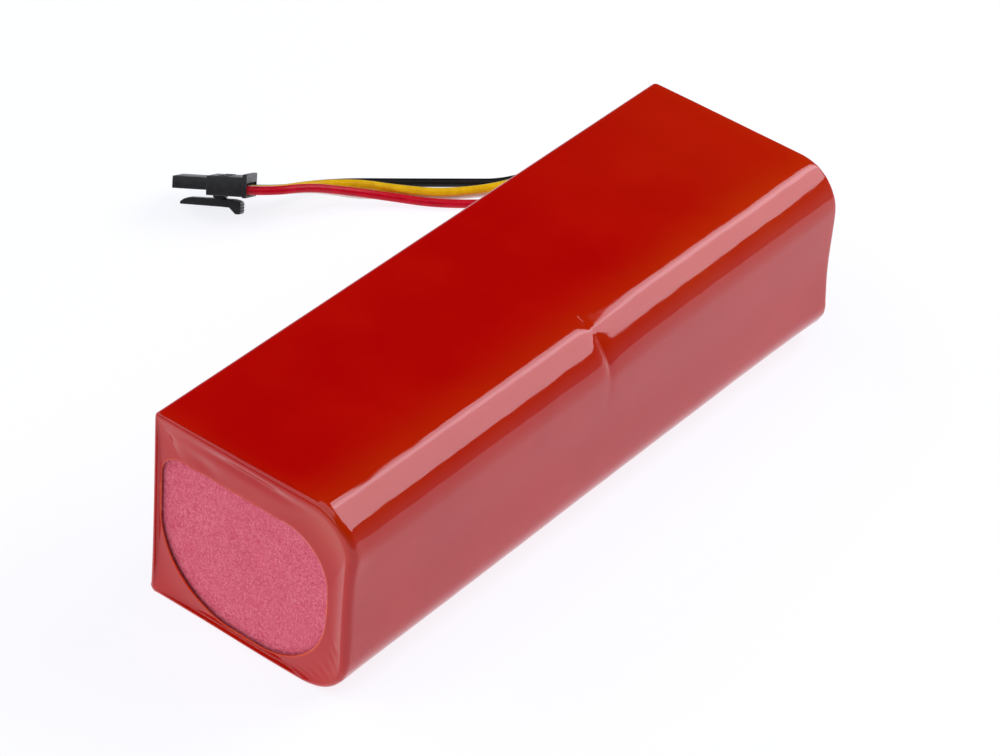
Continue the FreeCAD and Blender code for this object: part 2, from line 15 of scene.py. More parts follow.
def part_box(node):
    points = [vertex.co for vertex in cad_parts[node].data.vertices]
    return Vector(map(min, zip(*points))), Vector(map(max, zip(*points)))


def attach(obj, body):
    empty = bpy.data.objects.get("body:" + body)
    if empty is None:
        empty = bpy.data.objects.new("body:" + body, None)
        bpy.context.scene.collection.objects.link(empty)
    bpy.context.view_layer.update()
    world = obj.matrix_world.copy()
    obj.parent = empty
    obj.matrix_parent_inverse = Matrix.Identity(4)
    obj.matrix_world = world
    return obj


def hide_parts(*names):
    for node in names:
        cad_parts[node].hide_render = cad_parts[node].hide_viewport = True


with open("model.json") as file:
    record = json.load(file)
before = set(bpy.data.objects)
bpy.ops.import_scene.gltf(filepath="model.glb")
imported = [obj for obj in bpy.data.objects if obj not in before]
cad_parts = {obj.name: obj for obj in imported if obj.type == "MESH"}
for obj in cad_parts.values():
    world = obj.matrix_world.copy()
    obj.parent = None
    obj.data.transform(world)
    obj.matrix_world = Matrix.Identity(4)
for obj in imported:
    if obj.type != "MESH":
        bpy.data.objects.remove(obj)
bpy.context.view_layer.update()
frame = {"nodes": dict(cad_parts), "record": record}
scene = bpy.context.scene
scene.view_settings.view_transform = "Standard"
MM = 0.001


# ------------------------------------------------------------------ camera

CAMERA_AZIMUTH = math.radians(35.609)
CAMERA_ELEVATION = math.radians(37.994)
CAMERA_ROLL = math.radians(5.106)
CAMERA_DISTANCE = 649.65 * MM
CAMERA_AIM = Vector((0.0, 0.0, 18.86 * MM))
AIM_OFFSET = (-1.295 * MM, -0.376 * MM)
SENSOR_WIDTH = 36.0
LENS = 134.61


def make_camera():
    """A camera on a sphere round the aim point, rolled about its own axis and slid a little sideways."""
    backwards = Vector((math.sin(CAMERA_AZIMUTH) * math.cos(CAMERA_ELEVATION),
                        -math.cos(CAMERA_AZIMUTH) * math.cos(CAMERA_ELEVATION),
                        math.sin(CAMERA_ELEVATION)))
    level = Vector((math.cos(CAMERA_AZIMUTH), math.sin(CAMERA_AZIMUTH), 0.0))
    upright = backwards.cross(level)
    right = math.cos(CAMERA_ROLL) * level + math.sin(CAMERA_ROLL) * upright
    up = math.cos(CAMERA_ROLL) * upright - math.sin(CAMERA_ROLL) * level
    place = CAMERA_AIM + CAMERA_DISTANCE * backwards + AIM_OFFSET[0] * right + AIM_OFFSET[1] * up
    lens = bpy.data.cameras.new("camera")
    lens.sensor_width = SENSOR_WIDTH
    lens.lens = LENS
    lens.clip_start = 0.01
    lens.clip_end = 50.0
    camera = bpy.data.objects.new("camera", lens)
    camera.matrix_world = Matrix((right, up, backwards)).transposed().to_4x4()
    camera.location = place
    scene.collection.objects.link(camera)
    scene.camera = camera


make_camera()


# ------------------------------------------------------------------ materials

# places of a Mix node's sockets for colours, which share their names with its other sockets
FACTOR, FIRST, SECOND = 0, 6, 7
COLOURS = {"data_type": "RGBA", "output": 2}


def linear(code, alpha=1.0):
    """An sRGB hex colour as linear light."""
    values = [int(code[i:i + 2], 16) / 255 for i in (0, 2, 4)]
    return tuple(v / 12.92 if v <= 0.04045 else ((v + 0.055) / 1.055) ** 2.4 for v in values) + (alpha,)


def per(size_mm):
    """The texture scale whose features are this many millimetres, on coordinates in metres."""
    return 1000.0 / size_mm


def put(tree, kind, inputs=(), output=0, **settings):
    """Add one node and return one of its outputs, by name or place.

    inputs are its sockets' names or places with values or links; settings are its own properties.
    """
    node = tree.nodes.new("ShaderNode" + kind)
    for name, value in settings.items():
        setattr(node, name, value)
    for name, value in dict(inputs).items():
        if isinstance(value, bpy.types.NodeSocket):
            tree.links.new(value, node.inputs[name])
        else:
            node.inputs[name].default_value = value
    return node.outputs[output] if len(node.outputs) else None


def start(name):
    """An empty material, its tree of nodes and the piece's own coordinates."""
    material = bpy.data.materials.new(name)
    material.use_nodes = True
    tree = material.node_tree
    tree.nodes.clear()
    return material, tree, put(tree, "TexCoord", output="Object")


def close(material, **inputs):
    """Give a material its shader, whose inputs are named with underscores for spaces."""
    tree = material.node_tree
    shader = put(tree, "BsdfPrincipled", {name.replace("_", " "): value for name, value in inputs.items()})
    put(tree, "OutputMaterial", {"Surface": shader})
    return material


def shrink_film():
    """Heat-shrunk PVC film: deep red, glossy, a little orange where it is thinned over an edge, which is
    partly the thinner film and partly painted light shining through it.

    Two close reds drift over centimetres, and the film has the faint relief of its stretching. The
    sleeve's attributes say where the film is thinned and lit through, which gets that painted orange
    glow, and where its cut edge shows, which gets a painted bright orange line of light.
    """
    material, tree, where = start("heat_shrunk_pvc_film")
    drift = put(tree, "TexNoise", {"Vector": where, "Scale": per(14.0)})
    drift = put(tree, "MapRange", {"Value": drift, "From Min": 0.35, "From Max": 0.65})
    deep = put(tree, "Mix", {FACTOR: drift, FIRST: linear("C00301"), SECOND: linear("C60A02")}, **COLOURS)
    patches = put(tree, "TexNoise", {"Vector": where, "Scale": per(22.0), "Detail": 3.0})
    patches = put(tree, "MapRange", {"Value": patches, "From Min": 0.35, "From Max": 0.7,
                                     "To Min": 0.75, "To Max": 1.1})
    # painted light: an orange glow of light shining through the film where it is thinned, mixed into its
    # colour
    thin_and_backlit = put(tree, "Attribute", output="Fac", attribute_name="thin_and_backlit")
    thin_and_backlit = put(tree, "Math", {0: thin_and_backlit, 1: patches}, operation="MULTIPLY", use_clamp=True)
    thin_and_backlit_colour = put(tree, "Mix", {FACTOR: thin_and_backlit, FIRST: deep, SECOND: linear("CA3004")}, **COLOURS)
    # painted light: a bright orange line along each mouth's cut edge, for light coming out of the film there
    edge = put(tree, "Attribute", output="Fac", attribute_name="painted_cut_edge_glow")
    colour = put(tree, "Mix", {FACTOR: edge, FIRST: thin_and_backlit_colour, SECOND: linear("F0500E")}, **COLOURS)
    sheen = put(tree, "TexNoise", {"Vector": where, "Scale": per(4.0)})
    sheen = put(tree, "MapRange", {"Value": sheen, "From Min": 0.3, "From Max": 0.7,
                                   "To Min": 0.05, "To Max": 0.10})
    drawing = put(tree, "TexNoise", {"Vector": where, "Scale": per(2.4), "Detail": 1.0})
    relief = put(tree, "Bump", {"Height": drawing, "Distance": 0.004 * MM})
    return close(material, Base_Color=colour, Roughness=sheen, Normal=relief, IOR=1.54,
                 Specular_Tint=linear("FFEEFF"))


def film_inside():
    """The film's inner face: the same film, dull, and painted a darker red as painted shade for the shadow
    inside the sleeve.
    """
    material, tree, where = start("film_inner_face")
    drift = put(tree, "TexNoise", {"Vector": where, "Scale": per(3.0)})
    # painted shade: these reds are darker than the outer film because the inner face lies in shadow
    shade = put(tree, "Mix", {FACTOR: drift, FIRST: linear("900408"), SECOND: linear("A4060A")}, **COLOURS)
    return close(material, Base_Color=shade, Roughness=0.4, IOR=1.54)


def film_edge():
    """The film's cut edge, where light that runs inside the film comes out bright orange-red."""
    material, tree, where = start("film_cut_edge")
    drift = put(tree, "TexNoise", {"Vector": where, "Scale": per(4.0)})
    glow = put(tree, "Mix", {FACTOR: drift, FIRST: linear("D8340C"), SECOND: linear("E8501C")}, **COLOURS)
    return close(material, Base_Color=glow, Roughness=0.3, IOR=1.54)


def fibre_pad():
    """Dyed fibre paper: matt, with pale and dark fibres a few tenths of a millimetre long.

    Fibres, longer strands, pale specks and worn patches are laid over one another, and the fibres
    stand up as relief.
    """
    material, tree, where = start("dyed_fibre_paper")
    fibres = put(tree, "TexNoise", {"Vector": where, "Scale": per(0.34), "Detail": 4.0})
    upright = put(tree, "Mapping", {"Vector": where, "Scale": (1.0, 1.0, 0.45)})
    strands = put(tree, "TexNoise", {"Vector": upright, "Scale": per(0.5)})
    specks = put(tree, "TexNoise", {"Vector": where, "Scale": per(0.26), "Detail": 1.0})
    patches = put(tree, "TexNoise", {"Vector": where, "Scale": per(4.0)})
    light = put(tree, "MapRange", {"Value": fibres, "From Min": 0.33, "From Max": 0.66})
    strands = put(tree, "MapRange", {"Value": strands, "From Min": 0.5, "From Max": 0.72, "To Max": 0.45})
    specks = put(tree, "MapRange", {"Value": specks, "From Min": 0.68, "From Max": 0.8})
    patches = put(tree, "MapRange", {"Value": patches, "From Min": 0.3, "From Max": 0.75, "To Max": 0.35})
    colour = put(tree, "Mix", {FACTOR: light, FIRST: linear("D44460"), SECOND: linear("F88298")}, **COLOURS)
    for share, shade in ((strands, "E05E78"), (specks, "F6C4CC"), (patches, "E0546E")):
        colour = put(tree, "Mix", {FACTOR: share, FIRST: colour, SECOND: linear(shade)}, **COLOURS)
    relief = put(tree, "Bump", {"Height": fibres, "Distance": 0.03 * MM, "Strength": 0.6})
    return close(material, Base_Color=colour, Normal=relief, Roughness=0.92, IOR=1.45)


def insulation(name, colour, shade):
    """Extruded vinyl on a stranded lead: satin, slightly uneven, with handling marks."""
    material, tree, where = start(name)
    marks = put(tree, "TexNoise", {"Vector": where, "Scale": per(1.6)})
    marks = put(tree, "MapRange", {"Value": marks, "From Min": 0.35, "From Max": 0.7})
    mixed = put(tree, "Mix", {FACTOR: marks, FIRST: linear(colour), SECOND: linear(shade)}, **COLOURS)
    sheen = put(tree, "TexNoise", {"Vector": where, "Scale": per(0.9)})
    sheen = put(tree, "MapRange", {"Value": sheen, "From Min": 0.3, "From Max": 0.7,
                                   "To Min": 0.28, "To Max": 0.42})
    uneven = put(tree, "TexNoise", {"Vector": where, "Scale": per(0.5)})
    relief = put(tree, "Bump", {"Height": uneven, "Distance": 0.01 * MM, "Strength": 0.5})
    return close(material, Base_Color=mixed, Roughness=sheen, Normal=relief, IOR=1.52,
                 Specular_IOR_Level=0.22)


def nylon():
    """Moulded black nylon: semi-matt with a fine spark-eroded grain and slight scuffs."""
    material, tree, where = start("moulded_black_nylon")
    scuffs = put(tree, "TexNoise", {"Vector": where, "Scale": per(1.1), "Detail": 3.0})
    scuffs = put(tree, "MapRange", {"Value": scuffs, "From Min": 0.5, "From Max": 0.75})
    mixed = put(tree, "Mix", {FACTOR: scuffs, FIRST: linear("15181C"), SECOND: linear("22262B")}, **COLOURS)
    sheen = put(tree, "TexNoise", {"Vector": where, "Scale": per(0.6)})
    sheen = put(tree, "MapRange", {"Value": sheen, "From Min": 0.3, "From Max": 0.7,
                                   "To Min": 0.34, "To Max": 0.5})
    grain = put(tree, "TexNoise", {"Vector": where, "Scale": per(0.16)})
    relief = put(tree, "Bump", {"Height": grain, "Distance": 0.006 * MM, "Strength": 0.6})
    return close(material, Base_Color=mixed, Roughness=sheen, Normal=relief, IOR=1.53,
                 Specular_IOR_Level=0.36)


def metal(name, colour, shade, rough, grain_mm, stretch=(1, 1, 1)):
    """A bare metal of two close shades, rougher where it is darker.

    Its grain has the given size. A stretch below one draws it out along that axis, as rolling does.
    """
    material, tree, where = start(name)
    drawn = put(tree, "Mapping", {"Vector": where, "Scale": stretch})
    grain = put(tree, "TexNoise", {"Vector": drawn, "Scale": per(grain_mm), "Detail": 3.0})
    share = put(tree, "MapRange", {"Value": grain, "From Min": 0.3, "From Max": 0.7})
    mixed = put(tree, "Mix", {FACTOR: share, FIRST: linear(colour), SECOND: linear(shade)}, **COLOURS)
    sheen = put(tree, "MapRange", {"Value": grain, "From Min": 0.3, "From Max": 0.7,
                                   "To Min": rough, "To Max": rough + 0.12})
    return close(material, Base_Color=mixed, Roughness=sheen, Metallic=1.0)


def plain(name, colour, shade, rough, grain_mm, relief_mm=0.01):
    """A non-metal of two close shades, mottled at the given size, with slight relief."""
    material, tree, where = start(name)
    grain = put(tree, "TexNoise", {"Vector": where, "Scale": per(grain_mm), "Detail": 3.0})
    share = put(tree, "MapRange", {"Value": grain, "From Min": 0.3, "From Max": 0.7})
    mixed = put(tree, "Mix", {FACTOR: share, FIRST: linear(colour), SECOND: linear(shade)}, **COLOURS)
    sheen = put(tree, "MapRange", {"Value": grain, "From Min": 0.3, "From Max": 0.7,
                                   "To Min": rough, "To Max": rough + 0.1})
    relief = put(tree, "Bump", {"Height": grain, "Distance": relief_mm * MM, "Strength": 0.5})
    return close(material, Base_Color=mixed, Roughness=sheen, Normal=relief)


FINISHES = {
    "sleeve_film": shrink_film(),
    "film_inside": film_inside(),
    "film_edge": film_edge(),
    "end_paper": fibre_pad(),
    "can_steel": metal("drawn_nickel_plated_steel", "BFC0C2", "A9AAAD", 0.22, 0.4, (1, 0.05, 1)),
    "electrode_roll": metal("wound_copper_and_aluminium_foil", "8C7B6E", "6E6560", 0.35, 0.3, (1, 0.05, 1)),
    "cell_wrap": plain("shrunk_teal_cell_film", "1E7A70", "1A6C63", 0.22, 3.0),
    "cap_steel": metal("pressed_nickel_plated_steel", "C8C8C6", "B2B2B0", 0.25, 0.5),
    "nickel": metal("rolled_pure_nickel", "C9C5BC", "B4B0A6", 0.24, 0.35, (0.1, 1, 1)),
    "circuit_board": plain("green_solder_mask", "14502C", "0F4526", 0.3, 0.8),
    "chip_plastic": plain("moulded_epoxy", "1B1B1D", "242426", 0.55, 0.2),
    "fibre_paper": plain("vulcanised_fibre", "A79A6A", "958857", 0.75, 0.6, 0.03),
    "cover_board": plain("bare_glass_laminate", "CFC9AE", "BDB696", 0.5, 0.7, 0.02),
    "thermistor_glass": plain("fired_glass_bead", "8A4A24", "7A3E1C", 0.12, 0.8),
    "red_insulation": insulation("red_vinyl_insulation", "D00028", "BC0022"),
    "white_insulation": insulation("white_vinyl_insulation", "EDEBE4", "DFDCD2"),
    "yellow_insulation": insulation("yellow_vinyl_insulation", "F4C600", "E4B200"),
    "black_insulation": insulation("black_vinyl_insulation", "0C0C0C", "131313"),
    "plug_nylon": nylon(),
    "contact_brass": metal("tin_plated_brass", "C9B98F", "B3A276", 0.25, 0.3),
}


def dress_frame():
    """Give every frame node the finish of its material slot."""
    for part in frame["record"]["subparts"]:
        mesh = frame["nodes"][part["node"]].data
        mesh.materials.clear()
        mesh.materials.append(FINISHES[part["material_slot"]])


dress_frame()


# ------------------------------------------------------------------ leads

LEAD_DIAMETER = 1.7 * MM
LEAD_START = (-18.7, 62.5)
LEAD_STRAIGHT = 10.5
LEAD_RUN_IN = 3.8
PLUG_BASE = np.array((-90.25, 12.3, 6.55))
PLUG_TURN = np.radians((31.7, -4.8, -32.2))


def plug_axes(yaw, tilt, roll):
    """The plug's length, width and height directions as columns, from its three angles."""
    about_z = np.array(((math.cos(yaw), -math.sin(yaw), 0), (math.sin(yaw), math.cos(yaw), 0), (0, 0, 1)))
    about_y = np.array(((math.cos(tilt), 0, math.sin(tilt)), (0, 1, 0), (-math.sin(tilt), 0, math.cos(tilt))))
    about_x = np.array(((1, 0, 0), (0, math.cos(roll), -math.sin(roll)), (0, math.sin(roll), math.cos(roll))))
    return about_z @ about_y @ about_x


PLUG_AXES = plug_axes(*PLUG_TURN)


def on_plug(points):
    """Plug coordinates (along, across, up) in millimetres to the frame's metres."""
    return (PLUG_BASE + np.asarray(points) @ PLUG_AXES.T) * MM


WAY_FIRST, WAY_PITCH, WAY_HEIGHT = 1.75, 2.5, 1.2
PLUG_REAR, CRIMP_END = 14.3, 10.5
# name, height of its terminal, length in millimetres, then its route to the plug
LEADS = [
    ("red", 8.4, 112.9, [(-22.4, 82.8, 8.0), (-30.8, 84.0, 6.3), (-38.8, 75.5, 3.4), (-46.5, 61.2, 1.0),
                         (-56.3, 51.3, 1.0), (-64.0, 45.6, 1.8), (-69.9, 38.5, 4.0), (-72.9, 31.3, 6.9)]),
    ("white", 10.5, 115.3, [(-22.7, 83.9, 10.0), (-31.5, 86.2, 7.5), (-40.3, 77.8, 4.0),
                            (-48.9, 64.8, 1.3), (-57.2, 53.9, 0.95), (-64.7, 47.7, 0.98),
                            (-68.8, 42.65, 1.27), (-72.3, 37.9, 3.05), (-74.5, 33.2, 4.9)]),
    ("yellow", 12.6, 118.3, [(-22.9, 84.9, 11.8), (-32.0, 88.5, 8.8), (-41.5, 80.2, 6.0),
                             (-48.2, 64.0, 3.1), (-56.4, 52.9, 2.6), (-64.3, 47.1, 2.82),
                             (-69.7, 44.0, 2.84), (-74.0, 39.9, 2.8), (-76.3, 35.5, 3.5)]),
    ("black", 14.7, 123.0, [(-23.1, 85.8, 13.8), (-32.7, 90.8, 10.5), (-42.0, 86.5, 6.4),
                            (-46.5, 75.5, 3.2), (-50.6, 65.8, 1.5), (-57.9, 59.8, 0.95),
                            (-66.3, 51.6, 0.95), (-73.6, 44.6, 0.96), (-77.8, 37.6, 1.8)]),
]


def lead(way, colour, height, middle):
    """One insulated lead as a smooth line from its board terminal to its crimp in the plug."""
    across = WAY_FIRST + way * WAY_PITCH
    ends = on_plug([(PLUG_REAR + LEAD_RUN_IN, across, WAY_HEIGHT), (CRIMP_END, across, WAY_HEIGHT)])
    begins = [LEAD_START + (height,), (LEAD_START[0], LEAD_START[1] + LEAD_STRAIGHT, height)]
    points = np.vstack([np.array(begins + middle) * MM, ends])
    curve = bpy.data.curves.new(colour + "_lead", "CURVE")
    curve.dimensions = "3D"
    spline = curve.splines.new("NURBS")
    spline.points.add(len(points) - 1)
    spline.points.foreach_set("co", np.c_[points, np.ones(len(points))].ravel())
    spline.order_u = 3
    spline.use_endpoint_u = True
    spline.resolution_u = 14
    curve.bevel_depth = LEAD_DIAMETER / 2
    curve.bevel_resolution = 7
    curve.use_fill_caps = True
    curve.materials.append(FINISHES[colour + "_insulation"])
    piece = bpy.data.objects.new(colour + "_lead", curve)
    scene.collection.objects.link(piece)
    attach(piece, "pack")
    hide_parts(colour + "_wire")


# ------------------------------------------------------------------ surfaces

def mesh_piece(name, vertices, faces, slot, body="pack", attributes=()):
    """A piece from whole arrays; doubles at poles are merged and the faces made to point outwards."""
    mesh = bpy.data.meshes.new(name)
    mesh.from_pydata(vertices.tolist(), [], faces)
    for key, values in dict(attributes).items():
        mesh.attributes.new(key, "FLOAT", "POINT").data.foreach_set("value", values)
    work = bmesh.new()
    work.from_mesh(mesh)
    bmesh.ops.remove_doubles(work, verts=work.verts, dist=1e-7)
    bmesh.ops.dissolve_degenerate(work, edges=work.edges, dist=1e-7)
    bmesh.ops.recalc_face_normals(work, faces=work.faces)
    if work.calc_volume(signed=True) < 0:
        bmesh.ops.reverse_faces(work, faces=work.faces)
    work.to_mesh(mesh)
    work.free()
    mesh.materials.append(FINISHES[slot])
    piece = bpy.data.objects.new(name, mesh)
    scene.collection.objects.link(piece)
    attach(piece, body)
    return piece


def grid_faces(rows, columns):
    """The quads of a grid whose columns close on themselves."""
    r, c = np.meshgrid(np.arange(rows - 1), np.arange(columns), indexing="ij")
    across = (c + 1) % columns
    quads = np.stack([r * columns + c, r * columns + across,
                      (r + 1) * columns + across, (r + 1) * columns + c], axis=-1)
    return quads.reshape(-1, 4).tolist()


def smooth(piece, degrees=40):
    """Smooth shading with edges sharper than the angle kept crisp."""
    piece.data.shade_smooth()
    piece.data.set_sharp_from_angle(angle=math.radians(degrees))


def modifier(piece, kind, **settings):
    """Add one modifier with its settings."""
    added = piece.modifiers.new(kind.lower(), kind)
    for key, value in settings.items():
        setattr(added, key, value)
    return added


CORNER_STEPS = 26
EDGE_STEPS = 14
COLUMNS = 4 * (CORNER_STEPS + EDGE_STEPS)
# the stretches of a ring in order: a corner, then the edge after it
STRETCHES = ("low_right", "right", "high_right", "top", "high_left", "left", "low_left", "bottom")


def ring(left, right, low, high, radii):
    """A rounded rectangle as points and outward directions, anticlockwise from its lower edge.

    Four straight edges and four quarter circles, always with the same number of points, so that
    two rings join edge to edge. radii go bottom right, top right, top left, bottom left.
    """
    centres = [(right - radii[0], low + radii[0]), (right - radii[1], high - radii[1]),
               (left + radii[2], high - radii[2]), (left + radii[3], low + radii[3])]
    points, outwards = [], []
    for k, (centre, radius) in enumerate(zip(centres, radii)):
        angle = np.linspace(-math.pi / 2, 0, CORNER_STEPS) + k * math.pi / 2
        way = np.c_[np.cos(angle), np.sin(angle)]
        arc = np.array(centre) + radius * way
        next_start = np.array(centres[(k + 1) % 4]) + radii[(k + 1) % 4] * way[-1]
        steps = np.linspace(0, 1, EDGE_STEPS + 2)[1:-1, None]
        points += [arc, arc[-1] + steps * (next_start - arc[-1])]
        outwards += [way, np.repeat(way[-1:], EDGE_STEPS, axis=0)]
    return np.vstack(points), np.vstack(outwards)


def around(**levels):
    """A weight for each column of a ring: a value or an array over each named stretch, and zero elsewhere."""
    weight = np.zeros(COLUMNS)
    for place, level in levels.items():
        index = STRETCHES.index(place)
        begin = index // 2 * (CORNER_STEPS + EDGE_STEPS) + index % 2 * CORNER_STEPS
        weight[begin:begin + (EDGE_STEPS if index % 2 else CORNER_STEPS)] = level
    return weight


def soften(values, width):
    """A weight round the ring, averaged over its neighbours."""
    window = np.hanning(width)
    reach = width // 2
    return np.convolve(np.r_[values[-reach:], values, values[:reach]], window / window.sum(), "valid")


def hump(position, middle, width):
    """A bell curve of height one."""
    return np.exp(-((position - middle) / width) ** 2)


def eased(value):
    """A smooth step from 0 to 1 over values from 0 to 1."""
    held = np.clip(value, 0, 1)
    return held * held * (3 - 2 * held)


def ripple(a, b, seed, wavelength, count=5):
    """Smooth irregular waves over two coordinates: a sum of sines with seeded directions and phases."""
    draw = np.random.default_rng(seed)
    total = np.zeros(np.broadcast(a, b).shape)
    for _ in range(count):
        heading = draw.uniform(0, math.pi)
        phase = draw.uniform(0, 2 * math.pi)
        stretch = draw.uniform(0.7, 1.5)
        along = a * math.cos(heading) + b * math.sin(heading)
        total += np.sin(2 * math.pi * along * stretch / wavelength + phase)
    return total / count


# ------------------------------------------------------------------ sleeve

HALF_WIDTH, HALF_LENGTH, HEIGHT = np.array(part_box("shrink_sleeve")[1]) / MM
ROUND_SIDE, BOARD_SIDE = 8.9, 1.2
FILM = 0.3
RIM_ROWS, FOLD_ROWS, BODY_ROWS, CREASE_ROWS = 30, 9, 170, 25
CREASE_REACH = 1.5
PINCH = 0.6
# each mouth's left, right, low and high edge, then its corner radii
FRONT_MOUTH = (-19.9, 16.1, 1.3, 30.5, [14.5, 9.6, 4.8, 17.0])
REAR_MOUTH = (-20.2, 16.1, 2.6, 34.4, [12.0, 12.0, 8.0, 5.0])
# how wide the painted bright line of light at a mouth's edge is, and over how much more it fades
CUT_EDGE, CUT_EDGE_FADE = 0.16, 0.12
# the sleeve's plain section, rounded on the right and nearly square on the board's side
PLAN, OUTWARDS = ring(-HALF_WIDTH, HALF_WIDTH, 0.0, HEIGHT, [ROUND_SIDE, ROUND_SIDE, BOARD_SIDE, BOARD_SIDE])


def end_rows(end, mouth, lip_depth, set_back, sag, fold):
    """The rows of one end, from the mouth's edge out over the rim and the fold to the side.

    The fold is a quarter circle whose radius differs round the ring, set back from the end plane.
    The rim's depth goes evenly from the set-back at the fold to the lip's depth at the mouth, and
    sag(share) adds to it, with share 0 at the fold and 1 at the mouth. Depth is measured inwards
    from the end plane. Returns points and outward directions, which are zero on the rim.
    """
    at_fold = PLAN - fold[:, None] * OUTWARDS
    rows, ways = [], []
    for share in np.linspace(1, 0, RIM_ROWS):
        level = at_fold * (1 - share) + mouth * share
        depth = set_back * (1 - share) + lip_depth * share + sag(share)
        rows.append(np.c_[level[:, 0], end * (HALF_LENGTH - depth), level[:, 1]])
        ways.append(OUTWARDS * 0)
    for angle in np.linspace(0, math.pi / 2, FOLD_ROWS)[1:]:
        level = PLAN - (fold * (1 - math.sin(angle)))[:, None] * OUTWARDS
        depth = set_back + fold * (1 - math.cos(angle))
        rows.append(np.c_[level[:, 0], end * (HALF_LENGTH - depth), level[:, 1]])
        ways.append(OUTWARDS * math.sin(angle))
    return np.array(rows), np.array(ways)


def pleats(share):
    """Small pleats in the rim at the low right corner: a sine round the ring, a bell curve across the rim."""
    at_corner = soften(around(low_right=1.0), 9)
    return at_corner * (0.5 + 0.5 * np.sin(np.arange(COLUMNS) * 1.9)) * hump(share, 0.35, 0.25)


def front_rows(mouth, loose):
    """The front end: a dished rim with a dip and a hollow above the mouth, and a fold wider to the right."""
    on_top = soften(around(top=1.0), 7)
    to_the_left = around(top=np.linspace(0, 1, EDGE_STEPS))
    groove = on_top * hump(to_the_left, 0.38, 0.36)
    lens = on_top * hump(to_the_left, 0.80, 0.11)
    to_the_right = soften(around(high_right=1.0, top=np.linspace(1, 0, EDGE_STEPS)), 9)
    flank = soften(around(right=1.0, low_right=0.6), 13)

    def sag(share):
        dish = 0.25 * np.sin(math.pi * share) * (1.1 - on_top)
        dip = 0.48 * groove * hump(share, 0.22, 0.13)
        hollow = 0.32 * lens * hump(share, 0.70, 0.22)
        return dish + dip + hollow + 0.12 * pleats(share)

    fold = 0.7 + 0.7 * to_the_right + 0.7 * flank
    set_back = 0.5 * to_the_right + 0.2 * flank
    return end_rows(-1, mouth, 0.85 - 0.3 * loose, set_back, sag, fold)


def rear_rows(mouth, loose):
    """The rear end: an evenly dished rim and a fold that is wider on the right side."""
    flank = soften(around(right=1.0, low_right=0.6), 13)

    def sag(share):
        return 0.30 * np.sin(math.pi * share) + 0.10 * pleats(share)

    return end_rows(1, mouth, 0.3 + 0.2 * loose, 0.0, sag, 0.7 + 0.4 * flank)


def body_rows(first, last):
    """The rows between the folds: the plain section at places from first to last, closest at the pinch.

    The places lie a little closer towards both ends, as the sum of a straight line and a sine.
    """
    spread = np.linspace(-1, 1, BODY_ROWS)[1:-1]
    stations = 0.72 * spread + 0.28 * np.sin(spread * math.pi / 2)
    crease = (PINCH + np.linspace(-CREASE_REACH, CREASE_REACH, CREASE_ROWS)) / HALF_LENGTH
    share = (np.sort(np.r_[stations, crease])[:, None] + 1) / 2
    y = first * (1 - share) + last * share
    rows = np.stack([np.broadcast_to(PLAN[:, 0], y.shape), y, np.broadcast_to(PLAN[:, 1], y.shape)], axis=-1)
    return rows, np.broadcast_to(OUTWARDS, y.shape + (2,))


def painted_cut_edge_glow(points, front_mouth, rear_mouth):
    """From 0 to 1, how near each point is to the edge of its mouth, seen along the pack: where the painted
    bright line of light at the cut edge goes.
    """
    weight = np.zeros(points.shape[:2])
    for rows, mouth in ((slice(0, RIM_ROWS), front_mouth), (slice(-RIM_ROWS, None), rear_mouth)):
        from_lip = np.hypot(points[rows, :, 0] - mouth[:, 0], points[rows, :, 2] - mouth[:, 1])
        weight[rows] = 1 - eased((from_lip - CUT_EDGE) / CUT_EDGE_FADE)
    return weight


def sleeve():
    """The shrunk film: a rounded section carried along Y and turned in over both ends.

    The rows of both ends and of the body make one grid, film_shape() moves its points off the plain
    section, and Solidify gives the film its thickness inwards.
    """
    front_mouth, _ = ring(*FRONT_MOUTH)
    rear_mouth, _ = ring(*REAR_MOUTH)
    turn = np.arctan2(front_mouth[:, 1] - HEIGHT / 2, front_mouth[:, 0])
    loose = (1 + np.cos(turn + 0.75 * math.pi)) / 2
    front, front_ways = front_rows(front_mouth, loose)
    rear, rear_ways = rear_rows(rear_mouth, loose)
    body, body_ways = body_rows(front[-1, :, 1], rear[-1, :, 1])
    points = np.concatenate([front, body, rear[::-1]])
    ways = np.concatenate([front_ways, body_ways, rear_ways[::-1]])
    points += film_shape(points, ways)
    # painted light: the orange glow where the thinned film is lit through
    weights = {"thin_and_backlit": thin_and_backlit_film(points).ravel(),
               # painted light: the bright orange line at the mouths' cut edges
               "painted_cut_edge_glow": painted_cut_edge_glow(points, front_mouth, rear_mouth).ravel()}
    piece = mesh_piece("shrunk_film", points.reshape(-1, 3) * MM, grid_faces(len(points), COLUMNS),
                       "sleeve_film", attributes=weights)
    piece.data.materials.append(FINISHES["film_inside"])
    piece.data.materials.append(FINISHES["film_edge"])
    piece.data.shade_smooth()
    modifier(piece, "SOLIDIFY", thickness=FILM * MM, offset=-1.0, use_quality_normals=True,
             material_offset=1, material_offset_rim=2)
    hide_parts("shrink_sleeve")


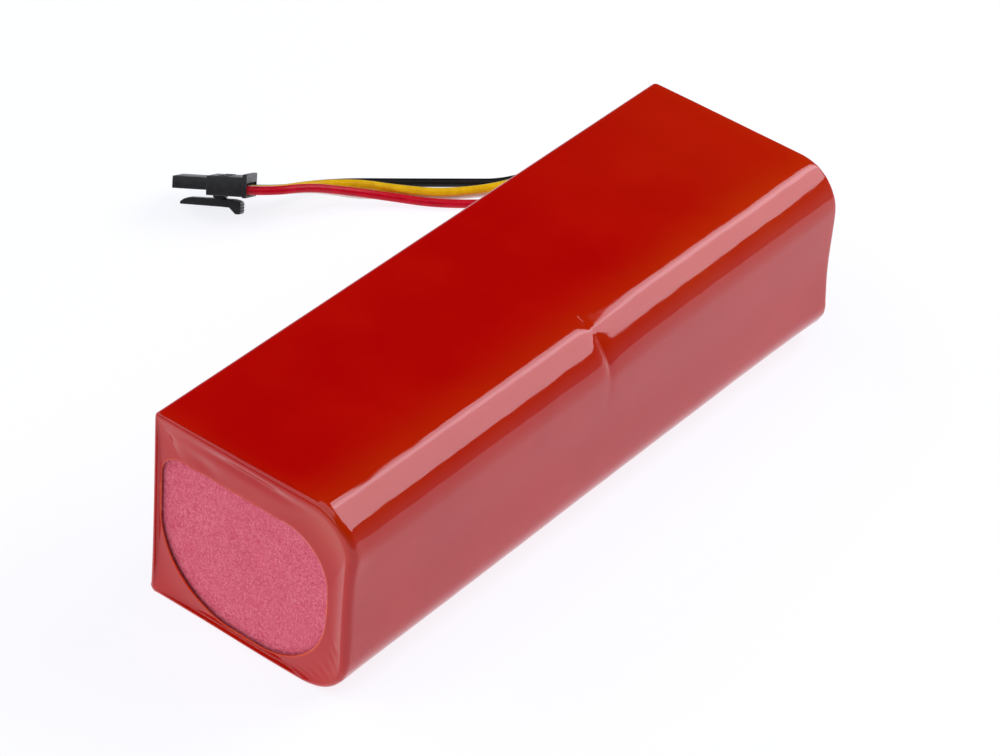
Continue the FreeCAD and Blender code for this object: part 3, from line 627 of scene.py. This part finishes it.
def film_shape(points, ways):
    """How far each point of the film stands off its plain section, in millimetres along x, y and z.

    A sum of terms, each a weight round the ring times a falloff along the pack: a fine groove and a
    wide hollow at the pinch between the two rows of cells, which ends sharply in front and fades
    behind, its tail down the right side, the hollow of that side, the draw of the rear end, the
    loose low corners, the flare of the front end, and ripples. The rear low right corner also
    bulges along y.
    """
    y = points[:, :, 1]
    from_front, from_rear = HALF_LENGTH + y, HALF_LENGTH - y
    from_end = HALF_LENGTH - np.abs(y)
    past = y - PINCH
    column = np.arange(COLUMNS)

    from_top = np.linspace(90, 0, CORNER_STEPS)
    arch = np.maximum(np.sin(np.radians(2 * from_top)), 0) ** 0.8
    grooved = around(high_right=arch * (1 - 0.7 * hump(from_top, 25, 8)))
    hollowed = around(high_right=arch * (1 - hump(from_top, 28, 10.5)))
    down_the_side = soften(around(high_right=0.5, right=np.linspace(0, 1, EDGE_STEPS) ** 9), 7)
    side = around(right=np.sin(np.linspace(0, math.pi, EDGE_STEPS)) ** 2)
    rounded = soften(around(low_right=1.0, high_right=1.0), 9)
    heel = soften(around(low_left=1.0), 17)
    toe = soften(around(low_right=1.0), 17)
    flare = 0.24 * soften(around(high_right=1.0), 9) - 0.12 * around(high_right=hump(from_top, 31, 15))
    bulge = soften(around(low_right=1.0, right=0.5, high_right=0.2, top=0.1, bottom=0.3), 21)

    fading = np.where(past < 0, np.exp(-(past / 1.0) ** 2), np.exp(-np.maximum(past, 0) / 6.5))
    off = -0.07 * hump(past, 0, 0.6) * grooved - 0.56 * fading * hollowed
    off += -0.12 * hump(past, 0, 1.3) * down_the_side
    off += -0.10 * side
    off += -0.10 * np.exp(-from_end / 2.0) * rounded * (y > 0)
    off += 0.55 * heel * np.exp(-from_front / 7.0)
    off += 0.60 * toe * np.exp(-from_rear / 9.0)
    off += flare * np.exp(-np.maximum(from_front - 1.9, 0) / 3.0)
    off += 0.040 * ripple(column * 0.5, y, 3, 24.0) * (0.25 + rounded)
    off += 0.022 * ripple(column * 0.4, y, 21, 9.0) * rounded
    off += 0.07 * np.exp(-from_end / 3.0) * ripple(column * 1.1, y * 0.6, 7, 5.5) * (0.3 + rounded)
    return np.stack([off * ways[:, :, 0], 2.2 * bulge * eased((y - 35) / 32), off * ways[:, :, 1]], axis=-1)


def thin_and_backlit_film(points):
    """From 0 to 1, the share of painted orange light shining through the film, laid where it is thinnest:
    over the upper right corner, rearwards and at the ends.
    """
    x, y, z = points[:, :, 0], points[:, :, 1], points[:, :, 2]
    from_end = HALF_LENGTH - np.abs(y)
    upper = eased((z - 26) / 8)
    over_corner = 0.85 * hump(x, 17.5, 6.0)
    to_the_rear = 0.35 * eased((y - 10) / 60)
    return np.clip(upper * (over_corner + to_the_rear) + 0.35 * np.exp(-from_end / 1.5), 0, 1)


# ------------------------------------------------------------------ end pads

PAD_INSET = 1.7
PAD_FOOT = 0.35
PAD_RADII = [8.0, 7.4, 0.8, 0.8]
CELL_ENDS = [(x, z) for x in (-6.55, 11.75) for z in (10.05, 28.35)]
CELL_REACH = 5.5
SWELL = 0.10
WAVES, WAVE_LENGTH = 0.04, 17.0
EDGE_PRESS, PRESSED_SHARE = 0.75, 0.22
PAD_RINGS = 26


def end_pad(name, left, near, far, seed):
    """A fibre-paper pad: a rounded plate that swells over each cell's end and thins at its pressed edge.

    Rings shrink from the outline to the middle on both faces, and the two middles close it. The near
    face dips between bell curves over the cells' ends, has long waves, and is pressed back by an
    eased step along its edge. The far face is flat.
    """
    right, high = HALF_WIDTH - PAD_INSET, HEIGHT - PAD_INSET
    outline, _ = ring(left, right, PAD_FOOT, high, PAD_RADII)
    middle = np.array(((left + right) / 2, (PAD_FOOT + high) / 2))
    inwards = np.sign(far - near)
    front = []
    for share in np.r_[np.linspace(0, 0.98, PAD_RINGS), 1.0]:
        plan = middle + (outline - middle) * share
        dome = sum(hump(plan[:, 0], x, CELL_REACH) * hump(plan[:, 1], z, CELL_REACH) for x, z in CELL_ENDS)
        level = near + inwards * SWELL * (1 - dome)
        level += WAVES * ripple(plan[:, 0], plan[:, 1], seed, WAVE_LENGTH)
        level += inwards * EDGE_PRESS * (1 - float(eased(share / PRESSED_SHARE)))
        front.append(np.c_[plan[:, 0], level, plan[:, 1]])
    front[-1][:, 1] = front[-1][:, 1].mean()
    back = [np.c_[p[:, 0], np.full(len(p), far), p[:, 2]] for p in front[::-1]]
    rows = np.array(front + back)
    piece = mesh_piece(name, rows.reshape(-1, 3) * MM, grid_faces(len(rows), COLUMNS), "end_paper")
    smooth(piece, 50)
    return piece


# ------------------------------------------------------------------ plug

def tube_of_sections(name, body, bevel_mm, sections, steps=3):
    """A moulded shell lofted through rounded rectangles along the plug's length.

    Each section is (along, across low, across high, up low, up high, corner radius); two sections at
    the same place make a step, and the first and last sections close on their middles.
    """
    rows = []
    angle = np.linspace(-math.pi / 2, 0, steps)
    for along, w0, w1, v0, v1, radius in sections:
        corners = [(w1 - radius, v0 + radius), (w1 - radius, v1 - radius),
                   (w0 + radius, v1 - radius), (w0 + radius, v0 + radius)]
        turns = [angle + k * math.pi / 2 for k in range(4)]
        plan = np.vstack([np.array(corner) + radius * np.c_[np.cos(turn), np.sin(turn)]
                          for corner, turn in zip(corners, turns)])
        rows.append(np.c_[np.full(len(plan), along), plan])
    caps = [np.repeat(row.mean(0)[None], len(row), 0) for row in (rows[0], rows[-1])]
    rows = np.array(caps[:1] + rows + caps[1:])
    piece = mesh_piece(name, on_plug(rows.reshape(-1, 3)), grid_faces(len(rows), rows.shape[1]),
                       "plug_nylon", body)
    modifier(piece, "BEVEL", width=bevel_mm * MM, segments=2, limit_method="ANGLE",
             angle_limit=math.radians(50))
    smooth(piece, 35)
    return piece


def block(name, body, bevel_mm, along, across, up):
    """A small straight block of the plug between the given ends along, across and up."""
    return tube_of_sections(name, body, bevel_mm, [(end, *across, *up, 0.05) for end in along])


def side_profile(name, body, bevel_mm, across, outline):
    """A side view (along, up) carried straight across the plug, with flat ends."""
    outline = np.array(outline)
    count = len(outline)
    sides = [np.c_[outline[:, 0], np.full(count, side), outline[:, 1]] for side in across]
    faces = grid_faces(2, count) + [list(range(count)), list(range(2 * count - 1, count - 1, -1))]
    piece = mesh_piece(name, on_plug(np.vstack(sides)), faces, "plug_nylon", body)
    modifier(piece, "BEVEL", width=bevel_mm * MM, segments=2, limit_method="ANGLE",
             angle_limit=math.radians(30))
    smooth(piece, 35)
    return piece


def arc_points(centre, radius, start_deg, end_deg, count):
    """Points on a circle between two angles."""
    angle = np.radians(np.linspace(start_deg, end_deg, count))
    return [(centre[0] + radius * math.cos(a), centre[1] + radius * math.sin(a)) for a in angle]


PLUG_WIDTH, BODY_HEIGHT = 11.0, 3.7
NOSE_END, COLLAR = 6.6, 13.5
NOSE_POCKET, REAR_POCKET = 3.2, 10.9
# cross-sections of the housing: across from and to, up from and to, corner radius
NOSE = (0.3, 10.7, 0.95, 3.3, 0.25)
NOSE_WALL = 0.35
NOSE_HOLE = (NOSE[0] + NOSE_WALL, NOSE[1] - NOSE_WALL, NOSE[2] + NOSE_WALL, NOSE[3] - NOSE_WALL, 0.1)
BODY = (0.0, PLUG_WIDTH, 0.0, BODY_HEIGHT, 0.25)
COLLAR_RIM = (-0.15, PLUG_WIDTH + 0.15, -0.2, BODY_HEIGHT + 0.6, 0.25)
REAR_HOLE = (0.45, PLUG_WIDTH - 0.45, 0.15, 2.6, 0.1)
# walls between the ways: where they start and end along, and up
WAY_WALLS = {"rear": ((10.8, 14.1), (0.1, 2.65)), "nose": ((0.3, 3.3), (1.2, 3.0))}
HALF_WAY_WALL = 0.2
WINDOW_ALONG, HALF_WINDOW = (8.6, 10.4), 0.55
HINGE = (8.45, -0.9)
LEVER_ACROSS = (3.4, 7.6)
WEB_HALF, WEB_FILLET, WEB_FOOT, WEB_ROOT = 0.95, 0.45, -0.62, 0.05
HINGE_BOSS = 0.74
RIB_TOP, RIB_PITCH, HALF_RIB, RIB_MARGIN = -1.75, 0.55, 0.14, 0.5


def plug():
    """The housing shell with its nose and collar, the walls between its ways, window rims and hinge web."""
    housing = tube_of_sections("plug_shell", "pack", 0.09, [
        (NOSE_POCKET,) + NOSE_HOLE, (0.0,) + NOSE_HOLE, (0.0,) + NOSE, (NOSE_END,) + NOSE,
        (NOSE_END,) + BODY, (COLLAR,) + BODY, (COLLAR,) + COLLAR_RIM, (PLUG_REAR,) + COLLAR_RIM,
        (PLUG_REAR,) + REAR_HOLE, (REAR_POCKET,) + REAR_HOLE])
    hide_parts("plug_housing")
    pieces = [housing]
    for wall in range(3):
        middle = WAY_FIRST + (wall + 0.5) * WAY_PITCH
        for end, (along, up) in WAY_WALLS.items():
            pieces.append(block("%s_way_wall_%d" % (end, wall), "pack", 0.04, along,
                                (middle - HALF_WAY_WALL, middle + HALF_WAY_WALL), up))
    for way in range(4):
        middle = WAY_FIRST + way * WAY_PITCH
        pieces.append(block("lock_window_rim_%d" % way, "pack", 0.04, WINDOW_ALONG,
                            (middle - HALF_WINDOW, middle + HALF_WINDOW),
                            (BODY_HEIGHT - 0.1, BODY_HEIGHT + 0.12)))
    fillet = WEB_HALF + 0.55
    web = [(HINGE[0] - fillet, WEB_ROOT)]
    web += arc_points((HINGE[0] - fillet, -WEB_FILLET), WEB_FILLET, 90, 0, 5)
    web += [(HINGE[0] - WEB_HALF, WEB_FOOT), (HINGE[0] + WEB_HALF, WEB_FOOT)]
    web += arc_points((HINGE[0] + fillet, -WEB_FILLET), WEB_FILLET, 180, 90, 5)
    web += [(HINGE[0] + fillet, WEB_ROOT)]
    pieces.append(side_profile("hinge_web", "pack", 0.05, LEVER_ACROSS, web))
    return pieces


def lever():
    """The latch lever: a hooked bar that thickens to a thumb pad, with its hinge boss and grip ribs."""
    outline = [(1.05, -2.1), (1.05, -1.6), (1.7, -1.1), (2.6, -0.78), (7.5, -0.75)]
    outline += arc_points(HINGE, HINGE_BOSS, 165, 15, 9)
    outline += [(9.5, -0.76), (11.2, -0.80), (12.0, -0.95), (12.55, -1.2), (12.7, -1.5), (12.7, -3.4)]
    outline += [(12.55, -3.5), (11.75, -3.5), (10.5, -2.3), (9.0, -2.24)]
    bar = side_profile("lever_bar", "latch", 0.12, LEVER_ACROSS, outline)
    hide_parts("latch_lever")
    pieces = [bar]
    for rib in range(3):
        middle = RIB_TOP - RIB_PITCH * rib
        pieces.append(block("thumb_rib_%d" % rib, "latch", 0.05, (12.6, 12.85),
                            (LEVER_ACROSS[0] + RIB_MARGIN, LEVER_ACROSS[1] - RIB_MARGIN),
                            (middle - HALF_RIB, middle + HALF_RIB)))
    return pieces


# ------------------------------------------------------------------ stage

TABLE_RADIUS = 0.42
TABLE_GLOW = 0.88
# name, azimuth, elevation, distance, width, height, then radiance
SOFTBOXES = [("rear_softbox", 28.6, 43.3, 0.95, 0.73, 0.57, 3.75),
             ("rear_softbox_core", 9, 46, 0.94, 0.10, 0.50, 2.0),
             ("overhead_softbox", 180, 78, 1.2, 1.0, 0.9, 1.2),
             ("front_fill", 200, 38, 2.2, 2.4, 1.6, 1.2),
             ("left_fill", -110, 35, 2.2, 1.6, 1.2, 1.4)]


def softbox(name, azimuth, elevation, distance, width, height, radiance):
    """A rectangular light that faces the pack; azimuth is from +Y towards +X, in degrees."""
    a, e = math.radians(azimuth), math.radians(elevation)
    place = distance * Vector((math.sin(a) * math.cos(e), math.cos(a) * math.cos(e), math.sin(e)))
    light = bpy.data.lights.new(name, "AREA")
    light.shape = "RECTANGLE"
    light.size = width
    light.size_y = height
    light.energy = radiance * math.pi * width * height
    lamp = bpy.data.objects.new(name, light)
    lamp.location = place
    lamp.rotation_euler = place.to_track_quat("Z", "Y").to_euler()
    scene.collection.objects.link(lamp)


def lit_acrylic():
    """Matt acrylic lit from below: an even cool white that takes only a faint shadow."""
    material, tree, where = start("lit_matt_acrylic")
    drift = put(tree, "TexNoise", {"Vector": where, "Scale": per(400.0)})
    tone = put(tree, "Mix", {FACTOR: drift, FIRST: linear("7A7A7C"), SECOND: linear("7C7C7E")}, **COLOURS)
    return close(material, Base_Color=tone, Roughness=0.9, Specular_IOR_Level=0.1,
                 Emission_Color=linear("F9FAFF"), Emission_Strength=TABLE_GLOW)


def table():
    """The round lit table that the pack stands on, a regular polygon of many sides."""
    angle = np.linspace(0, 2 * math.pi, 96, endpoint=False)
    edge = np.c_[TABLE_RADIUS * np.cos(angle), TABLE_RADIUS * np.sin(angle), np.zeros(len(angle))]
    mesh = bpy.data.meshes.new("lit_table")
    mesh.from_pydata(edge.tolist(), [], [list(range(len(angle)))])
    mesh.materials.append(lit_acrylic())
    piece = bpy.data.objects.new("lit_table", mesh)
    scene.collection.objects.link(piece)


def room():
    """A dark room with some haze near the horizon, which the camera sees as plain white."""
    world = bpy.data.worlds.new("room")
    world.use_nodes = True
    tree = world.node_tree
    tree.nodes.clear()
    direction = put(tree, "TexCoord", output="Generated")
    height = put(tree, "SeparateXYZ", {"Vector": direction}, output="Z")
    haze = put(tree, "MapRange", {"Value": height, "From Min": 0.02, "From Max": 0.45,
                                  "To Min": 0.36, "To Max": 0.012})
    dark = put(tree, "Background", {"Color": linear("F2F4FF"), "Strength": haze})
    white = put(tree, "Background", {"Color": (1, 1, 1, 1)})
    seen = put(tree, "LightPath", output="Is Camera Ray")
    both = put(tree, "MixShader", {0: seen, 1: dark, 2: white})
    put(tree, "OutputWorld", {"Surface": both})
    scene.world = world


# ------------------------------------------------------------------ build

plug_pieces = plug()
lever_pieces = lever()
for way, (colour, height, length, middle) in enumerate(LEADS):
    lead(way, colour, height, middle)
sleeve()
front_pad = end_pad("front_fibre_pad", -20.85, -66.25, -65.35, 5)
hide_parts("front_end_pad")
rear_pad = end_pad("rear_fibre_pad", -16.2, 66.25, 65.35, 11)
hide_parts("rear_end_pad")
table()
for light_values in SOFTBOXES:
    softbox(*light_values)
room()
